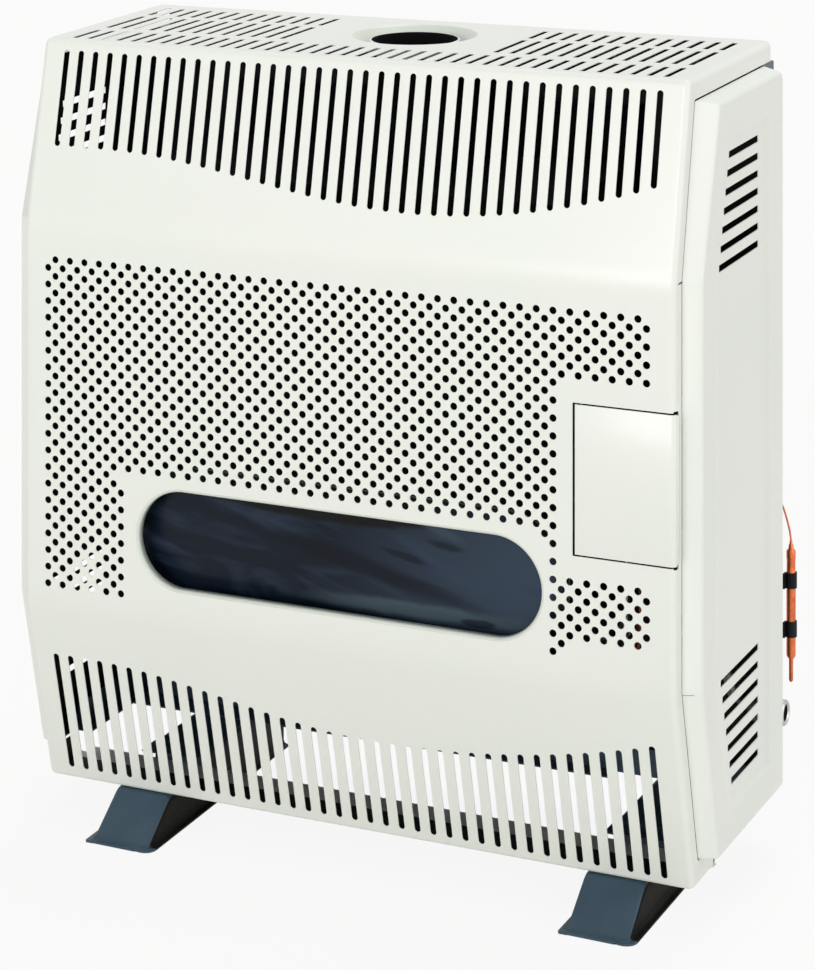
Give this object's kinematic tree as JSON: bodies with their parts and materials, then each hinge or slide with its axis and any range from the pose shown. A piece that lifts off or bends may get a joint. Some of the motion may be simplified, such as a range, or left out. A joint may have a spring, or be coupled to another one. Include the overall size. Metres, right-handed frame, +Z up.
{
  "type": "flued gas room heater",
  "caption": "Flued gas room heater on pressed feet: louvred enamelled casing, flame window, control door, push-and-turn knob, igniter button and rear sensing bulb.",
  "frame": {"origin": "middle of the footprint, on the floor", "axes": "+Z up, +X to the right as seen from the front, the front faces -Y"},
  "size_m": [0.6986, 0.3004, 0.76],
  "materials": {
    "enamel": "semi-gloss cream enamel on sheet steel",
    "side_paint": "satin pale grey enamel on sheet steel",
    "slate_enamel": "glossy dark slate blue enamel",
    "black_paint": "matt heat-resistant black",
    "steel": "plain drawn or folded steel",
    "aluminium": "plain aluminium, lightly brushed",
    "brass": "turned brass",
    "copper": "drawn copper, slightly tarnished",
    "glass": "dark blue heat-resistant glass",
    "fibre": "woven heat-proof gasket cord",
    "ceramic": "white glazed ceramic",
    "black_plastic": "moulded black plastic",
    "red_plastic": "moulded red plastic"
  },
  "bodies": {
    "casing": {"front_cover": "enamel", "side_panel_left": "side_paint", "side_panel_right": "side_paint", "rear_frame": "slate_enamel", "base_frame": "black_paint", "foot_left": "slate_enamel", "foot_right": "slate_enamel", "combustion_chamber": "black_paint", "glass_gasket": "fibre", "window_glass": "glass", "window_frame": "black_paint", "draught_diverter": "steel", "flue_spigot": "aluminium", "heat_shield": "steel", "chamber_bracket_left": "black_paint", "chamber_bracket_right": "black_paint", "burner_tube": "steel", "burner_tray": "black_paint", "gas_injector": "brass", "injector_bracket": "steel", "burner_feed_pipe": "aluminium", "pilot_bracket": "steel", "pilot_burner": "brass", "thermocouple": "copper", "spark_electrode": "ceramic", "pilot_tube": "aluminium", "thermocouple_lead": "copper", "ignition_lead": "black_plastic", "control_bracket": "black_paint", "gas_valve": "aluminium", "piezo_igniter": "black_plastic", "door_pin_upper": "steel", "door_pin_lower": "steel", "door_magnet": "black_plastic", "gas_inlet_socket": "aluminium", "gas_inlet_pipe": "steel", "thermostat_bulb": "copper", "bulb_clip_upper": "black_plastic", "bulb_clip_lower": "black_plastic", "capillary_tube": "copper"},
    "control_door": {"control_door": "enamel"},
    "valve_plunger": {"valve_plunger": "brass"},
    "thermostat_knob": {"thermostat_knob": "black_plastic", "knob_stem": "brass"},
    "igniter_button": {"igniter_button": "red_plastic"}
  },
  "joints": [
    {"name": "door_swing", "type": "hinge", "parent": "casing", "child": "control_door", "pos_m": [0.24017, -0.14122, 0.40575], "axis": [0, 0, -1], "range_deg": [0, 90]},
    {"name": "knob_push", "type": "slide", "parent": "casing", "child": "valve_plunger", "axis": [0, 1, 0], "range_m": [0, 0.004], "stiffness_N_per_m": 900},
    {"name": "knob_turn", "type": "hinge", "parent": "valve_plunger", "child": "thermostat_knob", "pos_m": [0.28317, -0.12322, 0.428], "axis": [0, -1, 0], "range_deg": [0, 240]},
    {"name": "igniter_push", "type": "slide", "parent": "casing", "child": "igniter_button", "axis": [0, 1, 0], "range_m": [0, 0.006], "stiffness_N_per_m": 700}
  ]
}
